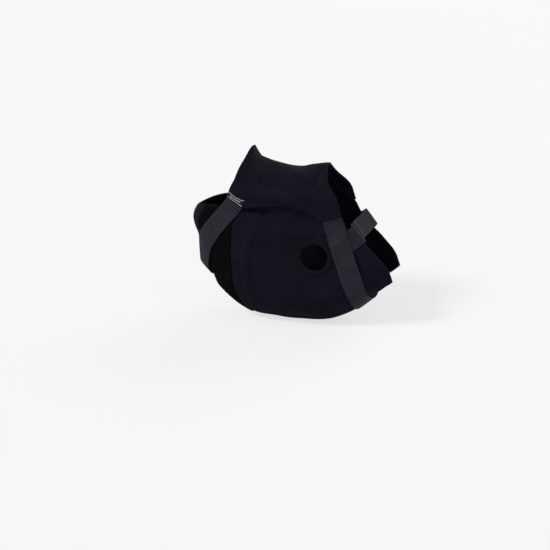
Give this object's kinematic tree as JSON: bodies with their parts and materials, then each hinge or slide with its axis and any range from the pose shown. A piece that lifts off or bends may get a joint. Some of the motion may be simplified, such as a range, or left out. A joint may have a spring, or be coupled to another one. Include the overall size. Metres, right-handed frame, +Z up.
{
  "type": "e-bike motor cover",
  "caption": "Neoprene pouch with a draped saddle panel and webbing straps that wraps and protects an e-bike's mid motor.",
  "frame": {"origin": "centre of the crank axle, on the cover's mid-plane", "axes": "+X to the rear of the bicycle, +Y to its drive side along the crank axle, +Z up"},
  "size_m": [0.2779, 0.1285, 0.2319],
  "materials": {
    "shell": "matt jersey face of laminated neoprene",
    "loop_fabric": "brushed loop pile",
    "hook_fabric": "moulded hook tape on webbing",
    "webbing": "ribbed polyester webbing",
    "label": "woven label with pale border lines",
    "binding": "folded binding tape",
    "seam": "flatlock stitching"
  },
  "bodies": {
    "root": {"side_panel_left": "shell", "side_panel_right": "shell", "front_strip_left": "shell", "front_strip_right": "shell", "nose_panel": "shell", "loop_patch_left": "loop_fabric", "loop_patch_right": "loop_fabric", "keel_panel": "shell", "saddle_panel": "shell", "front_strap": "webbing", "front_hook_tab": "hook_fabric", "rear_strap": "webbing", "rear_hook_tab": "hook_fabric", "rear_loop_pad": "loop_fabric", "seat_tube_strap": "webbing", "seat_tube_hook_tab": "hook_fabric", "seat_tube_loop_pad": "loop_fabric", "label": "label", "axle_binding_left": "binding", "axle_binding_right": "binding", "front_seam_left": "seam", "front_seam_right": "seam"}
  },
  "joints": []
}
